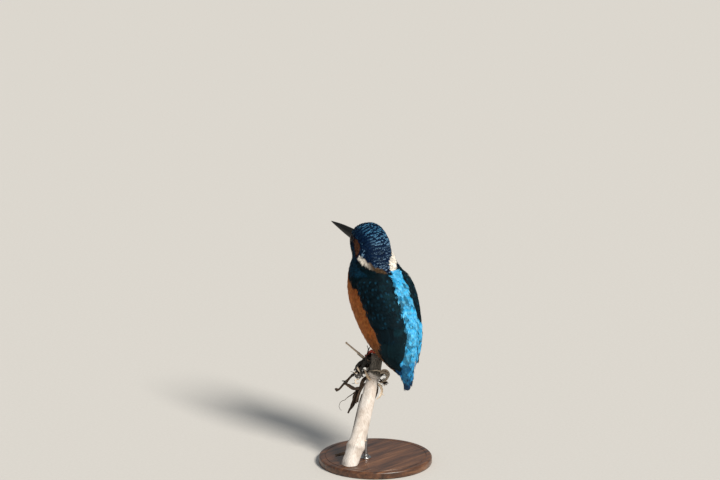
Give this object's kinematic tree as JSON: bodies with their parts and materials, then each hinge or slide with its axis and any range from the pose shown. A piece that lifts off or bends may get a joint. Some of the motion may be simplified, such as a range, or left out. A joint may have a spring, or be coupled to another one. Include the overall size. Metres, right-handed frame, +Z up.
{
  "type": "common kingfisher on a perch",
  "caption": "Life-size common kingfisher sitting upright on the end of a leaning dead branch, wings folded, head turned a little, on a round display base with a rod.",
  "frame": {"origin": "centre of the underside of the stand's base, on the floor", "axes": "+Z up; the bird's trunk heads to -Y and its left side is to +X"},
  "size_m": [0.084, 0.1077, 0.1787],
  "materials": {
    "head_plumage": "short dark blue feathers with pale azure tips, orange, black and white on the face",
    "body_plumage": "orange chestnut feathers below, bright azure down the back",
    "tail_plumage": "cobalt blue feathers",
    "wing_plumage": "dark greenish blue feathers with small azure spots",
    "bill": "satin black horn",
    "eye": "wet, very dark brown",
    "leg": "coral red scaled skin",
    "claw": "dark horn",
    "perch": "smooth, bleached dead wood",
    "perch_bark": "dark, weathered bark",
    "stand_base": "satin walnut",
    "stand_rod": "brushed steel"
  },
  "bodies": {
    "root": {"head": "head_plumage", "neck": "head_plumage", "trunk": "body_plumage", "tail": "tail_plumage", "wing_left": "wing_plumage", "wing_right": "wing_plumage", "bill_upper": "bill", "bill_lower": "bill", "eye_left": "eye", "eye_right": "eye", "leg_left": "leg", "leg_right": "leg", "claw_inner_left": "claw", "claw_middle_left": "claw", "claw_outer_left": "claw", "claw_hind_left": "claw", "claw_inner_right": "claw", "claw_middle_right": "claw", "claw_outer_right": "claw", "claw_hind_right": "claw", "perch_branch": "perch", "perch_twig_pale": "perch", "perch_twig_dark": "perch_bark", "perch_stub": "perch", "perch_loop": "perch", "perch_curl": "perch", "perch_bark_strip": "perch_bark", "stand_base": "stand_base", "stand_rod": "stand_rod"}
  },
  "joints": []
}
